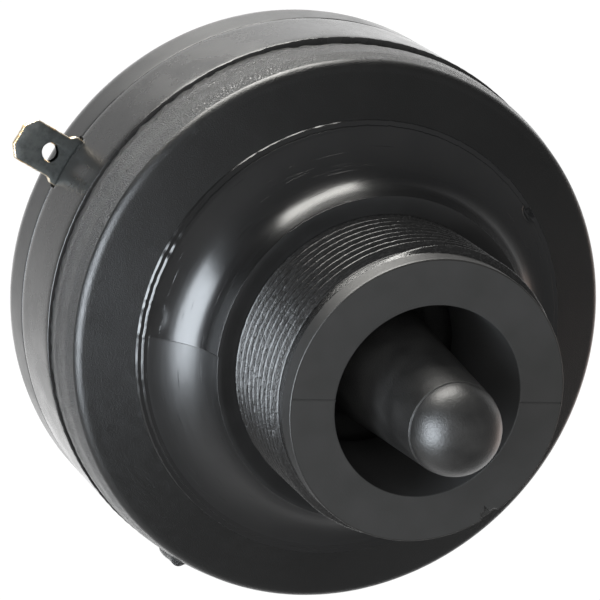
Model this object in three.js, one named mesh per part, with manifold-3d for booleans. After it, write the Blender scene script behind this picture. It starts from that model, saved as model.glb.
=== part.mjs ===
// A screw-on piezo horn driver: a threaded throat neck on a black three-shell housing, with a bullet phase
// plug in the throat, and inside it a cone diaphragm driven by a piezo bimorph.
// Millimetres. +Z runs along the throat axis, out of the mouth. The origin is the centre of the flat back.

import * as THREE from "three";
import { mergeVertices } from "three/addons/utils/BufferGeometryUtils.js";
import Module from "manifold-3d";

const wasm = await Module();
wasm.setup();

// Driving dimensions: R is a radius from the axis, Z a level above the back ------------------------------

const BODY_R = 34.25; // outside of the three housing shells
const MOUTH_Z = 52.6; // the neck's mouth face

const THREAD_MAJOR_R = 34.925 / 2; // 1-3/8 inch
const THREAD_PITCH = 25.4 / 18; // 18 threads per inch
const THREAD_DEPTH = 0.85;
const THREAD_TURNS = 8.75;
const THREAD_Z = 36.9; // where the thread's helix starts a turn, at angle 0
const THREAD_TOP_Z = THREAD_Z + THREAD_TURNS * THREAD_PITCH;
const THREAD_ROOT_R = THREAD_MAJOR_R - THREAD_DEPTH;

const BORE_R = 11.25; // throat bore
const BORE_END_Z = 32.5; // where the bore starts to flare towards the diaphragm
const FLARE_R = 24.5; // outer end of that flare
const EDGE = 0.3; // rounding of the mouth's edges

const COLLAR_Z = 36.6; // flat shoulder at the foot of the thread
const COLLAR_R = 19.6; // outer edge of that shoulder
const COVE = 1.5; // how far the collar's flank is hollowed out of a straight cone
const SEAM_R = 26.0; // ring where the glossy collar meets the flange
const SEAM_Z = 29.0;
const FLANGE_R = 32.9; // front corner of the flange
const FLANGE_Z = 26.3;
const FLANGE_EDGE = 1.2; // rounding of that corner

const SKIRT_Z = 18.65; // lower edge of the front housing
const SKIRT_R = 33.9; // widest radius of the skirt, a little inside the middle ring's
const SKIRT_BEVEL = 0.3; // how far the skirt turns in at its lower edge
const SKIRT_BEVEL_Z = SKIRT_Z + 1.95;
const RING_TOP_Z = 18.1; // upper edge of the middle ring
const JOINT_Z = 7.4; // joint plane between the middle ring and the rear cover
const BACK_EDGE = 2.6; // rounding of the rear cover's outer edge
const BACK_PLATE = 2.4; // thickness of the rear cover's plate
const FOOT_R = 26.8; // inside of the flat ring that the driver stands on
const RECESS = 0.6; // depth of the recess inside that ring

const RIB_Y = { front: 0.3, rear: 0.45 }; // how far the locating ribs stand out of the body
const RIB_R = { front: 1.0, rear: 1.3 };
const RIB_LENGTH = { front: 4.4, rear: 2.4 };

const SHELL_R = 31.3; // inside of the outer shell walls
const SPIGOT_R = 31.0; // outside of the spigots that centre one shell in the next
const SPIGOT_INNER_R = 28.2;
const SPIGOT_TOP_Z = 22.8; // where the middle ring's spigot presses on the clamped stack
const SPIGOT_FOOT_Z = 14.2; // lower end of the middle ring's thick wall
const COVER_SPIGOT_Z = 11.4;
const SEAT_Z = 25.4; // shoulder that the phase plug's ring seats on

const GASKET = 0.6;
const CLOTH_THICK = 0.3;
const SURROUND_Z = SPIGOT_TOP_Z + GASKET;
const SURROUND_ROLL_R = 26.9;
const SURROUND_INNER_R = 24.2;
const SURROUND_LIP_Z = 22.4;
const SURROUND_SAG = 0.9; // depth of the surround's roll
const STACK_R = 30.9; // outside of the clamped rings

const PLUG_TIP_R = 5.33; // spherical tip of the phase plug
const PLUG_TIP_Z = 61.5; // centre of that sphere
const PLUG_ROOT_R = 7.2; // plug radius where the parallel throat ends
const PLUG_ROOT_Z = 36.0;
const PLUG_RIM_R = 23.1;
const PLUG_RIM_THICK = 0.6;
const PLUG_RING_R = 24.7; // inside of the plug's clamped ring
const PLUG_RING_Z = 24.2;
const SPIDER_LEGS = 3;
const LEG_WIDTH = 2.6;

const CONE_APEX_R = 3.5;
const CONE_APEX_Z = 14.5;
const CONE_RIM_R = 23.9;
const CONE_RIM_Z = 22.6;
const CONE_WALL = 0.5;
const CONE_SLOPE = (CONE_RIM_Z - CONE_APEX_Z) / (CONE_RIM_R - CONE_APEX_R);
const CONE_CLEARANCE = 1.0; // from the cone up to the plug's rear face
const CAP_R = 3.2;
const CAP_Z = 14.05;

const WAFER_R = 11.0;
const WAFER_THICK = 0.3;
const SHIM_R = 12.5;
const SHIM_THICK = 0.2;
const FOIL_THICK = 0.15;
const FOIL_WIDTH = 1.4;
const FOIL_INNER_R = 9.6;
const WAFER_REAR_Z = 12.05; // lower face of the bimorph
const SHIM_Z = WAFER_REAR_Z + WAFER_THICK;
const WAFER_FRONT_Z = SHIM_Z + SHIM_THICK;
const BIMORPH_TOP_Z = WAFER_FRONT_Z + WAFER_THICK;
const COUPLING = { inner: 2, outer: 4.4, height: 1.1 };
const ABSORBER = { radius: 23, height: 6 };

const TAB_THICK = 0.8;
const TAB_Z = JOINT_Z + 0.1; // middle of the tab sheet
const TAB_INNER_R = 24.2;
const TAB_SHOULDER_R = 35.3;
const TAB_CORNER_R = 40.1;
const TAB_TIP_R = 41.2;
const TAB_SHOULDER_W = 6.4;
const TAB_W = 5.4;
const TAB_TIP_W = 2.6;
const TAB_HOLE_R = 36.7; // where the wire hole is
const TAB_HOLE_W = 2.1;
const TAB_HOLE_L = 3.4;
const TAB_TOP_Z = TAB_Z + TAB_THICK / 2;
const FIT_GAP = 0.3; // clearance around a tab in its slot
const WIRE_R = 0.4;

const SHELL_SIDES = 40; // segments round the housing shells
const RING_SIDES = 32;
const SMALL_SIDES = 16;

// Outlines -----------------------------------------------------------------------------------------------

// A lathe outline from corners [radius, level, fillet]. A corner with a fillet becomes an arc.
function outline(corners, steps = 4) {
  return corners.flatMap(([r, z, fillet], i) => {
    const corner = new THREE.Vector2(r, z);
    if (!fillet) return [corner];
    const [before, after] = [corners.at(i - 1), corners[(i + 1) % corners.length]];
    const back = new THREE.Vector2(before[0] - r, before[1] - z).normalize();
    const on = new THREE.Vector2(after[0] - r, after[1] - z).normalize();
    const half = back.angleTo(on) / 2;
    const centre = back.clone().add(on).setLength(fillet / Math.sin(half)).add(corner);
    const tangent = fillet / Math.tan(half);
    const start = back.multiplyScalar(tangent).add(corner).sub(centre);
    const end = on.multiplyScalar(tangent).add(corner).sub(centre);
    let sweep = end.angle() - start.angle();
    sweep -= 2 * Math.PI * Math.round(sweep / (2 * Math.PI));
    const spoke = (k) => start.clone().rotateAround(new THREE.Vector2(), (sweep * k) / steps);
    return Array.from({ length: steps + 1 }, (_, k) => spoke(k).add(centre));
  });
}

// The inner points of a flat arc between two ends, bowed to the right of the way it runs.
function bow([r0, z0], [r1, z1], sagitta, steps) {
  const chord = new THREE.Vector2(r1 - r0, z1 - z0);
  const aside = new THREE.Vector2(chord.y, -chord.x).normalize();
  return Array.from({ length: steps - 1 }, (_, k) => {
    const t = (k + 1) / steps;
    const lift = 4 * sagitta * t * (1 - t);
    return [r0 + chord.x * t + aside.x * lift, z0 + chord.y * t + aside.y * lift];
  });
}

// A quarter ellipse from the side of a dome to its top, which lies on the axis.
function dome(radius, height, base, steps) {
  return Array.from({ length: steps + 1 }, (_, k) => {
    const angle = (Math.PI / 2) * (k / steps);
    const r = k < steps ? radius * Math.cos(angle) : 0;
    return new THREE.Vector2(r, base + height * Math.sin(angle));
  });
}

// Solids -------------------------------------------------------------------------------------------------

// Turns an outline about Z. It runs anticlockwise, and closes on itself or starts and ends on the axis.
function lathe(points, sides = RING_SIDES) {
  const onAxis = points[0].x === 0 && points.at(-1).x === 0;
  return new THREE.LatheGeometry(onAxis ? points : [...points, points[0]], sides).rotateX(Math.PI / 2);
}

// A flat ring or disc between two levels.
function washer(inner, outer, low, high, sides = RING_SIDES) {
  return lathe(outline([[inner, low], [outer, low], [outer, high], [inner, high]]), sides);
}

// A surface of revolution whose rows may climb as they turn. Each row gives [radius, level] for a turn
// fraction from 0 to 1, and the rows close on themselves.
function screwLathe(rows, sides) {
  const vertices = [];
  const faces = [];
  const stride = sides + 1;
  rows.forEach((row, i) => {
    const low = i * stride;
    const high = ((i + 1) % rows.length) * stride;
    for (let j = 0; j <= sides; j++) {
      const angle = (2 * Math.PI * (j % sides)) / sides;
      const [r, z] = row(j / sides);
      vertices.push(r * Math.cos(angle), r * Math.sin(angle), z);
      if (j === sides) continue;
      faces.push(low + j, low + j + 1, high + j + 1);
      faces.push(low + j, high + j + 1, high + j);
    }
  });
  const geometry = new THREE.BufferGeometry();
  geometry.setAttribute("position", new THREE.Float32BufferAttribute(vertices, 3));
  geometry.setIndex(faces);
  return geometry;
}

// The rows of an external right-hand thread. It starts full on the collar's shoulder and fades out at its upper end.
function threadRows() {
  const flanks = [0, 0.4, 0.6]; // root, lower and upper crest edge, as fractions of the pitch
  const startZ = COLLAR_Z + 0.02;
  const startHeight = (t) => {
    const along = THREE.MathUtils.euclideanModulo((startZ - THREAD_Z) / THREAD_PITCH - t, 1);
    return THREAD_DEPTH * Math.min(along / flanks[1], (1 - along) / (1 - flanks[2]), 1);
  };
  const fade = 0.6 * THREAD_PITCH;
  const rows = [];
  for (let turn = -2; turn <= THREAD_TURNS; turn++) {
    flanks.forEach((flank) => {
      rows.push((t) => {
        const climb = THREAD_Z + THREAD_PITCH * (turn + t + flank);
        const z = THREE.MathUtils.clamp(climb, startZ, THREAD_TOP_Z);
        if (climb < startZ) {
          return [THREAD_ROOT_R + startHeight(t), z];
        }
        const height = flank ? THREAD_DEPTH * Math.min((THREAD_TOP_Z - z) / fade, 1) : 0;
        return [THREAD_ROOT_R + height, z];
      });
    });
  }
  return rows;
}

// A box from its lowest and highest corners.
function block(low, high) {
  const size = high.map((value, i) => value - low[i]);
  const centre = high.map((value, i) => (value + low[i]) / 2);
  return new THREE.BoxGeometry(...size).translate(...centre);
}

// A manifold-3d solid of a closed geometry.
function solid(geometry) {
  ["normal", "uv"].forEach((name) => geometry.deleteAttribute(name));
  const merged = mergeVertices(geometry, 1e-4);
  const index = merged.index.array;
  const kept = [];
  for (let i = 0; i < index.length; i += 3) {
    const [a, b, c] = index.slice(i, i + 3);
    if (a !== b && b !== c && c !== a) kept.push(a, b, c);
  }
  const vertProperties = merged.attributes.position.array;
  const mesh = new wasm.Mesh({ numProp: 3, vertProperties, triVerts: new Uint32Array(kept) });
  return new wasm.Manifold(mesh);
}

// The three.js geometry of a manifold-3d solid.
function geometryOf(body) {
  const mesh = body.getMesh();
  const geometry = new THREE.BufferGeometry();
  geometry.setAttribute("position", new THREE.BufferAttribute(mesh.vertProperties, 3));
  geometry.setIndex(new THREE.BufferAttribute(mesh.triVerts, 1));
  return geometry;
}

const union = (whole, pieces) => pieces.reduce((sum, piece) => sum.add(piece), whole);
const cut = (whole, pieces) => pieces.reduce((rest, piece) => rest.subtract(piece), whole);

// Materials ----------------------------------------------------------------------------------------------

function finish(color, roughness, metalness = 0) {
  return new THREE.MeshStandardMaterial({ color, roughness, metalness });
}

const BLACK_PLASTIC = finish(0x232424, 0.5);
const PLUG_PLASTIC = finish(0x2b2b2c, 0.4);
const TINNED = finish(0xa8a49a, 0.35, 0.9);
const SOLDER = finish(0xb9bbbd, 0.3, 0.9);
const BRASS = finish(0xb08a3c, 0.35, 0.9);
const CERAMIC = finish(0xcfc9b6, 0.55);
const PAPER = finish(0x3a332c, 0.9);
const CLOTH = finish(0x2a2622, 0.95);
const FOAM = finish(0x35373a, 1.0);
const SILICONE = finish(0xd8d6d0, 0.4);
const ADHESIVE = finish(0x141414, 0.35);
const RED_PVC = finish(0x9c2420, 0.45);
const BLACK_PVC = finish(0x1c1c1d, 0.45);

// Housing shells -----------------------------------------------------------------------------------------

// A half-round locating rib at -Y, down from a level, standing a little out of a shell's wall.
function rib(which, top) {
  const [radius, length] = [RIB_R[which], RIB_LENGTH[which]];
  const y = BODY_R + RIB_Y[which] - radius;
  const post = new THREE.CylinderGeometry(radius, radius, length, 12).rotateX(Math.PI / 2);
  return [solid(post.translate(0, -y, top - length / 2))];
}

function frontHousing() {
  const outside = outline([
    [SHELL_R, SKIRT_Z],
    [SKIRT_R - SKIRT_BEVEL, SKIRT_Z],
    [SKIRT_R, SKIRT_BEVEL_Z],
    [SKIRT_R - 0.2, SKIRT_BEVEL_Z + 2.9],
    [FLANGE_R, FLANGE_Z, FLANGE_EDGE],
    [SEAM_R, SEAM_Z],
    ...bow([SEAM_R, SEAM_Z], [COLLAR_R, COLLAR_Z], -COVE, 8),
    [COLLAR_R, COLLAR_Z],
    [THREAD_MAJOR_R + 0.05, COLLAR_Z],
  ], 6);
  const inside = outline([
    [THREAD_ROOT_R, THREAD_TOP_Z],
    [THREAD_ROOT_R, MOUTH_Z, EDGE],
    [BORE_R, MOUTH_Z, EDGE],
    [BORE_R, BORE_END_Z],
    [12.0, 30.8],
    [13.6, 29.4],
    [17.0, 28.0],
    [FLARE_R, SEAT_Z],
    [SHELL_R, SEAT_Z],
  ], 2);
  const level = (points) => points.map((p) => () => [p.x, p.y]);
  const rows = [...level(outside), ...threadRows(), ...level(inside)];
  const shell = solid(screwLathe(rows, SHELL_SIDES));
  return geometryOf(union(shell, rib("front", SKIRT_Z + RIB_LENGTH.front)));
}

// The slots in both shells that the terminal tabs pass out through. They open upwards through the rear
// cover's spigot, so that a tab can be laid in before the shells close.
function tabSlots() {
  const half = TAB_SHOULDER_W / 2 + FIT_GAP;
  const low = TAB_Z - TAB_THICK / 2 - FIT_GAP;
  const wall = block([SPIGOT_R + 0.1, -half, low], [BODY_R + 2, half, TAB_TOP_Z + FIT_GAP]);
  const spigot = block([SPIGOT_INNER_R - 1, -half, low], [SPIGOT_R + 0.2, half, COVER_SPIGOT_Z + 1]);
  const slot = solid(wall).add(solid(spigot));
  return [slot, slot.rotate([0, 0, 180])];
}

function middleRing() {
  const shell = lathe(outline([
    [SHELL_R, JOINT_Z],
    [BODY_R, JOINT_Z],
    [BODY_R, RING_TOP_Z],
    [SPIGOT_R, RING_TOP_Z],
    [SPIGOT_R, SPIGOT_TOP_Z],
    [SPIGOT_INNER_R, SPIGOT_TOP_Z],
    [SPIGOT_INNER_R, SPIGOT_FOOT_Z],
    [SHELL_R, SPIGOT_FOOT_Z - 2],
  ]), SHELL_SIDES);
  return geometryOf(cut(solid(shell), tabSlots()));
}

function rearCover() {
  const coverInnerR = SPIGOT_INNER_R + 0.4;
  const shell = lathe(outline([
    [0, RECESS],
    [FOOT_R - RECESS, RECESS],
    [FOOT_R, 0],
    [BODY_R, 0, BACK_EDGE],
    [BODY_R, JOINT_Z],
    [SPIGOT_R, JOINT_Z],
    [SPIGOT_R, COVER_SPIGOT_Z],
    [coverInnerR, COVER_SPIGOT_Z],
    [coverInnerR, BACK_PLATE, 1.6],
    [0, BACK_PLATE],
  ]), SHELL_SIDES);
  return geometryOf(cut(union(solid(shell), rib("rear", JOINT_Z)), tabSlots()));
}

// Phase plug: bullet, flared body, and a spider of legs out to its clamped ring --------------------------

function phasePlug() {
  const rear = (r) => CONE_APEX_Z + CONE_CLEARANCE + CONE_SLOPE * (r - CONE_APEX_R);
  const flare = outline([
    [0, rear(CONE_APEX_R)],
    [CONE_APEX_R, rear(CONE_APEX_R)],
    [PLUG_RIM_R, rear(PLUG_RIM_R)],
    [PLUG_RIM_R, rear(PLUG_RIM_R) + PLUG_RIM_THICK],
    [17.0, 25.7],
    [12.5, 27.3],
    [9.2, 29.6],
    [7.7, 32.6],
    [PLUG_ROOT_R, PLUG_ROOT_Z],
  ]);
  const body = lathe([...flare, ...dome(PLUG_TIP_R, PLUG_TIP_R, PLUG_TIP_Z, 7)]);
  const ring = washer(PLUG_RING_R, STACK_R, PLUG_RING_Z, SEAT_Z - 0.1);
  const legs = Array.from({ length: SPIDER_LEGS }, (_, leg) => {
    const inner = [PLUG_RIM_R - 3.6, -LEG_WIDTH / 2, PLUG_RING_Z];
    const outer = [PLUG_RING_R + 1.3, LEG_WIDTH / 2, SEAT_Z - 0.15];
    return solid(block(inner, outer).rotateZ(Math.PI / 2 + (2 * Math.PI * leg) / SPIDER_LEGS));
  });
  return geometryOf(union(solid(body), [solid(ring), ...legs]));
}

// Clamped stack and moving diaphragm ---------------------------------------------------------------------

function surround() {
  const [rim, lip] = [[SURROUND_ROLL_R, SURROUND_Z], [SURROUND_INNER_R, SURROUND_LIP_Z]];
  const over = [[STACK_R, SURROUND_Z], rim, ...bow(rim, lip, SURROUND_SAG, 6), lip];
  const under = [...over].reverse();
  const raised = over.map(([r, z]) => [r, z + CLOTH_THICK]);
  return lathe(outline([...under, ...raised]));
}

function cone() {
  return lathe(outline([
    [CONE_APEX_R, CONE_APEX_Z - CONE_WALL],
    [CONE_RIM_R, CONE_RIM_Z - CONE_WALL],
    [CONE_RIM_R, CONE_RIM_Z],
    [CONE_APEX_R, CONE_APEX_Z],
  ]));
}

function apexCap() {
  const rim = outline([[0, CAP_Z], [CAP_R, CAP_Z]]);
  return lathe([...rim, ...dome(CAP_R, 0.65, CAP_Z + 0.3, 4)], SMALL_SIDES);
}

// The foil that joins the two wafers' outer faces, bent round the edge of the shim.
function jumperFoil() {
  const bend = SHIM_R + 0.5 - FOIL_THICK;
  const inside = [[FOIL_INNER_R, BIMORPH_TOP_Z], [bend, BIMORPH_TOP_Z], [bend, WAFER_REAR_Z]];
  const outside = [[FOIL_INNER_R, WAFER_REAR_Z - FOIL_THICK], [bend + FOIL_THICK, WAFER_REAR_Z - FOIL_THICK]];
  const top = BIMORPH_TOP_Z + FOIL_THICK;
  const loop = [...inside, [FOIL_INNER_R, WAFER_REAR_Z], ...outside];
  loop.push([bend + FOIL_THICK, top], [FOIL_INNER_R, top]);
  const shape = new THREE.Shape(loop.map((p) => new THREE.Vector2(...p)));
  const strip = new THREE.ExtrudeGeometry(shape, { depth: FOIL_WIDTH, bevelEnabled: false });
  return strip.translate(0, 0, -FOIL_WIDTH / 2).rotateX(Math.PI / 2).rotateZ(Math.PI / 2);
}

// A dome of solder on a level, or hanging below it where the height is negative.
function solder(radius, height, base) {
  const points = [new THREE.Vector2(0, base), ...dome(radius, height, base, 3)];
  return lathe(height < 0 ? points.reverse() : points, 12);
}

// Terminals and leads ------------------------------------------------------------------------------------

function terminalTab() {
  const side = [
    [TAB_INNER_R, TAB_W / 2],
    [SPIGOT_INNER_R - 0.6, TAB_W / 2],
    [SPIGOT_INNER_R + 0.2, TAB_SHOULDER_W / 2],
    [TAB_SHOULDER_R - 0.5, TAB_SHOULDER_W / 2],
    [TAB_SHOULDER_R, TAB_W / 2],
    [TAB_CORNER_R, TAB_W / 2],
    [TAB_TIP_R, TAB_TIP_W / 2],
  ];
  const loop = [...side.map(([x, y]) => [x, -y]), ...[...side].reverse()];
  const shape = new THREE.Shape(loop.map((p) => new THREE.Vector2(...p)));
  const hole = new THREE.Path();
  const half = (TAB_HOLE_L - TAB_HOLE_W) / 2;
  hole.absarc(TAB_HOLE_R + half, 0, TAB_HOLE_W / 2, -Math.PI / 2, Math.PI / 2);
  hole.absarc(TAB_HOLE_R - half, 0, TAB_HOLE_W / 2, Math.PI / 2, (3 * Math.PI) / 2);
  shape.holes.push(hole);
  const options = { depth: TAB_THICK, bevelEnabled: false, curveSegments: 6 };
  return new THREE.ExtrudeGeometry(shape, options).translate(0, 0, TAB_TOP_Z - TAB_THICK);
}

// A thin insulated lead along a hand-laid route.
function leadWire(route) {
  const corners = Array.from({ length: 8 }, (_, k) => (Math.PI / 4) * k);
  const ring = corners.map((a) => new THREE.Vector2(WIRE_R * Math.cos(a), WIRE_R * Math.sin(a)));
  const path = new THREE.CatmullRomCurve3(route.map((p) => new THREE.Vector3(...p)));
  return new THREE.ExtrudeGeometry(new THREE.Shape(ring), { steps: 12, extrudePath: path });
}

// Assembly -----------------------------------------------------------------------------------------------

const driver = new THREE.Group();
const moving = new THREE.Group();
driver.add(moving);

function add(name, geometry, material, parent = driver) {
  const mesh = new THREE.Mesh(geometry, material);
  mesh.name = name;
  parent.add(mesh);
  return mesh;
}

add("front_housing", frontHousing(), BLACK_PLASTIC);
add("middle_ring", middleRing(), BLACK_PLASTIC);
add("rear_cover", rearCover(), BLACK_PLASTIC);
add("phase_plug", phasePlug(), PLUG_PLASTIC);
add("glue_bead", washer(SHELL_R + 0.2, BODY_R - 1.1, RING_TOP_Z, SKIRT_Z), ADHESIVE);

add("rear_gasket", washer(28.3, STACK_R, SPIGOT_TOP_Z, SURROUND_Z), FOAM);
add("surround", surround(), CLOTH);
add("front_gasket", washer(27.2, STACK_R, SURROUND_Z + CLOTH_THICK, PLUG_RING_Z - 0.05), FOAM);
add("absorber_disc", washer(0, ABSORBER.radius, BACK_PLATE, BACK_PLATE + ABSORBER.height), FOAM);

const couplingTop = BIMORPH_TOP_Z + COUPLING.height;
const coupling = washer(COUPLING.inner, COUPLING.outer, BIMORPH_TOP_Z, couplingTop, SMALL_SIDES);
add("cone_diaphragm", cone(), PAPER, moving);
add("apex_cap", apexCap(), PAPER, moving);
add("coupling_ring", coupling, SILICONE, moving);
add("piezo_wafer_front", washer(0, WAFER_R, WAFER_FRONT_Z, BIMORPH_TOP_Z), CERAMIC, moving);
add("centre_shim", washer(0, SHIM_R, SHIM_Z, WAFER_FRONT_Z), BRASS, moving);
add("piezo_wafer_rear", washer(0, WAFER_R, WAFER_REAR_Z, SHIM_Z), CERAMIC, moving);
add("jumper_foil", jumperFoil(), TINNED, moving);
add("solder_dot_wafer", solder(1.1, -0.7, WAFER_REAR_Z), SOLDER, moving).position.x = -8;
add("solder_dot_shim", solder(0.6, -0.5, SHIM_Z), SOLDER, moving).position.x = SHIM_R - 0.75;

// Each lead runs from just below its solder dot, over the absorber, to just above its tab.
const POLES = [
  {
    pole: "positive",
    azimuth: Math.PI,
    insulation: RED_PVC,
    route: [
      [-8, 0, 10.8], [-8.3, 0, 10.2], [-10, 0.8, 9.9],
      [-17, 1.6, 9.4], [-21, 0.8, 9.3], [-24, 0, 9.6],
    ],
  },
  {
    pole: "negative",
    azimuth: 0,
    insulation: BLACK_PVC,
    route: [
      [11.75, 0, 11.3], [12, 0, 10.6], [13.4, -0.8, 10],
      [17, -1.6, 9.4], [21, -0.8, 9.3], [24, 0, 9.6],
    ],
  },
];
POLES.forEach(({ pole, azimuth, insulation, route }) => {
  const tabSide = new THREE.Group();
  tabSide.rotation.z = azimuth;
  driver.add(tabSide);
  add("terminal_tab_" + pole, terminalTab(), TINNED, tabSide);
  add("solder_joint_" + pole, solder(1.4, 1.0, TAB_TOP_Z), SOLDER, tabSide).position.x = TAB_INNER_R + 1.8;
  add("lead_wire_" + pole, leadWire(route), insulation);
});

export default driver;
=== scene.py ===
"""Looks of the screw-on piezo horn driver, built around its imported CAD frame.

Lengths are in millimetres until a mesh is made, and +Z runs along the throat axis. Angles run round +Z from +X.
"""

import bmesh
import bpy
import numpy as np
from mathutils import Matrix, Vector


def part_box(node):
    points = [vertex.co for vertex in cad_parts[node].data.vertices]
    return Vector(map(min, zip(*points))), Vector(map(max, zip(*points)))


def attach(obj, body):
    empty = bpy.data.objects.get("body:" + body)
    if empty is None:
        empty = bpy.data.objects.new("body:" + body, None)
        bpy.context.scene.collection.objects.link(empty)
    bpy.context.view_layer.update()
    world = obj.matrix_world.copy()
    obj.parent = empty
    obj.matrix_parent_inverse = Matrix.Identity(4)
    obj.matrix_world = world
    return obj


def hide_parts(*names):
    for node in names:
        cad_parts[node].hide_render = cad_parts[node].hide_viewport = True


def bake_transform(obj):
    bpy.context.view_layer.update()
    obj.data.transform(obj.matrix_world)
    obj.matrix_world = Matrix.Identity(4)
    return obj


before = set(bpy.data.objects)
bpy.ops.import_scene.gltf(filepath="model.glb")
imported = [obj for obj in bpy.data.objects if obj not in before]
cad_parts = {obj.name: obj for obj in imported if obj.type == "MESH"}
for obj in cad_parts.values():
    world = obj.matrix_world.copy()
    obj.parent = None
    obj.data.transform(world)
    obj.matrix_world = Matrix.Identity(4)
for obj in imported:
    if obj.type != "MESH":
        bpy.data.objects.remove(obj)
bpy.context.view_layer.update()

MM = 0.001
TURN = 2 * np.pi
SAME_POINT = 1e-5  # points closer than this, in mm, are one vertex


def level(node, corner, axis=2):
    """A CAD node's lowest (0) or highest (1) coordinate along an axis, in mm."""
    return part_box(node)[corner][axis] / MM


# Driving dimensions ---------------------------------------------------------------------------------------

BODY_R = level("middle_ring", 1, 0)
MOUTH_Z = level("front_housing", 1)
SKIRT_Z = level("front_housing", 0)
JOINT_Z = level("middle_ring", 0)
RING_TOP_Z = level("glue_bead", 0)
SPIGOT_TOP_Z = level("middle_ring", 1)
TAB_LOW_Z = level("terminal_tab_positive", 0)
TAB_TOP_Z = level("terminal_tab_positive", 1)
TAB_TIP_R = level("terminal_tab_negative", 1, 0)
TAB_INNER_R = level("terminal_tab_negative", 0, 0)
RIB_FRONT_Y = -level("front_housing", 0, 1)
RIB_REAR_Y = -level("rear_cover", 0, 1)

THREAD_MAJOR_R = 34.925 / 2  # 1-3/8 inch across the crests
THREAD_PITCH = 25.4 / 18  # 18 threads per inch
THREAD_DEPTH = 0.85
THREAD_ROOT_R = THREAD_MAJOR_R - THREAD_DEPTH
THREAD_Z = 36.9  # where a turn of the helix starts, at angle 0
THREAD_END_TURN = 8.4  # the thread fades out after this turn
THREAD_TOP_Z = THREAD_Z + 9.4 * THREAD_PITCH

BORE_R = 11.25
COLLAR_Z = 36.6  # flat shoulder at the foot of the thread, out to COLLAR_R
COLLAR_R = 19.6
COVE = 1.5  # how far the collar's flank is hollowed out of a straight cone
SEAM_R = 26.0
SEAM_Z = 29.0
SKIRT_R = 33.9
SEAT_Z = 25.4  # the front housing's inner face, which the plug's ring sits against
SHELL_R = 31.3  # inside of the shells' walls
SPIGOT_R = 31.0
SPIGOT_INNER_R = 28.2
COVER_SPIGOT_Z = 11.4
CLOSING = SKIRT_Z - RING_TOP_Z - 0.12  # the glue joint closes by this much at the left
RIB_TURN = 268.0  # degrees: the half-round ribs stand here, near -Y
OFFSET = 0.05  # the front housing's flange sits this far towards -Y on the ring
SPLIT_LINE = 26.4  # degrees: the mould's parting plane crosses the front housing here and opposite

# Camera, lights, world, floor -----------------------------------------------------------------------------

CAMERA_AT = (-190.32, 26.33, 395.14)
IMAGE_RIGHT = Vector((0.77683, 0.52398, 0.34926))
IMAGE_UP = Vector((-0.44695, 0.84950, -0.28033))
TO_CAMERA = Vector((-0.44359, 0.06167, 0.89411))
FOCAL = 210.0

camera = bpy.data.objects.new("camera", bpy.data.cameras.new("camera"))
camera.data.lens = FOCAL
camera.data.sensor_width = 36.0
camera.data.clip_start = 0.01
axes = Matrix((IMAGE_RIGHT, IMAGE_UP, TO_CAMERA)).transposed().to_4x4()
camera.matrix_world = Matrix.Translation(Vector(CAMERA_AT) * MM) @ axes
bpy.context.scene.collection.objects.link(camera)
bpy.context.scene.camera = camera
bpy.context.scene.view_settings.view_transform = "Standard"
bpy.context.scene.view_settings.look = "None"


def softbox(name, towards, width, height, radiance, color, roll=0.0, distance=0.6):
    """An area light in a direction from the object, facing it. Radiance is against a white background of 1."""
    data = bpy.data.lights.new(name, "AREA")
    data.shape = "RECTANGLE"
    data.size, data.size_y = width, height
    data.energy = radiance * np.pi * width * height
    data.color = color
    light = bpy.data.objects.new(name, data)
    direction = Vector(towards).normalized()
    turn = Matrix.Rotation(np.radians(roll), 4, "Z")
    facing = direction.to_track_quat("Z", "Y").to_matrix().to_4x4()
    light.matrix_world = Matrix.Translation(direction * distance) @ facing @ turn
    bpy.context.scene.collection.objects.link(light)
    return light


softbox("top_softbox", (-0.524, 0.683, -0.509), 0.42, 0.42, 14.5, (1.0, 0.985, 0.94)).visible_diffuse = False
softbox("side_softbox", (-0.80, -0.50, 0.323), 0.5, 0.42, 17.0, (0.86, 0.93, 1.0)).visible_diffuse = False
softbox("warm_card", (0.91, 0.21, -0.30), 0.3, 0.3, 0.7, (1.0, 0.62, 0.45))
softbox("front_fill", TO_CAMERA, 0.38, 0.38, 5.0, (1.0, 1.0, 1.0)).visible_glossy = False


class Graph:
    """A node tree being built. Inputs may be numbers, colours or other nodes' sockets."""

    def __init__(self, tree):
        self.tree = tree
        tree.nodes.clear()

    def node(self, kind, inputs=None, **settings):
        made = self.tree.nodes.new(kind)
        for name, value in settings.items():
            setattr(made, name, value)
        for name, value in (inputs or {}).items():
            if isinstance(value, bpy.types.NodeSocket):
                self.tree.links.new(value, made.inputs[name])
            else:
                made.inputs[name].default_value = value
        return made

    def math(self, operation, a, b=0.0, c=0.0):
        return self.node("ShaderNodeMath", {0: a, 1: b, 2: c}, operation=operation).outputs[0]

    def span(self, value, low, high, to_low=0.0, to_high=1.0, smooth=False):
        """A value mapped from one range to another, and kept within it."""
        inputs = {"Value": value, "From Min": low, "From Max": high, "To Min": to_low, "To Max": to_high}
        kind = "SMOOTHSTEP" if smooth else "LINEAR"
        return self.node("ShaderNodeMapRange", inputs, interpolation_type=kind).outputs[0]

    def mix(self, share, a, b):
        """A colour between two."""
        inputs = {0: share, 6: (*a, 1.0), 7: (*b, 1.0)}
        return self.node("ShaderNodeMix", inputs, data_type="RGBA").outputs[2]


world = bpy.data.worlds.new("studio")
world.use_nodes = True
bpy.context.scene.world = world
sky = Graph(world.node_tree)
ray = sky.node("ShaderNodeTexCoord").outputs["Generated"]


def lobe(direction, start, full):
    """0 to 1 as the ray into the room turns to a direction. Start and full are the cosines of the angle off it."""
    inputs = {0: ray, 1: tuple(Vector(direction).normalized())}
    cosine = sky.node("ShaderNodeVectorMath", inputs, operation="DOT_PRODUCT").outputs["Value"]
    return sky.span(cosine, start, full)


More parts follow.
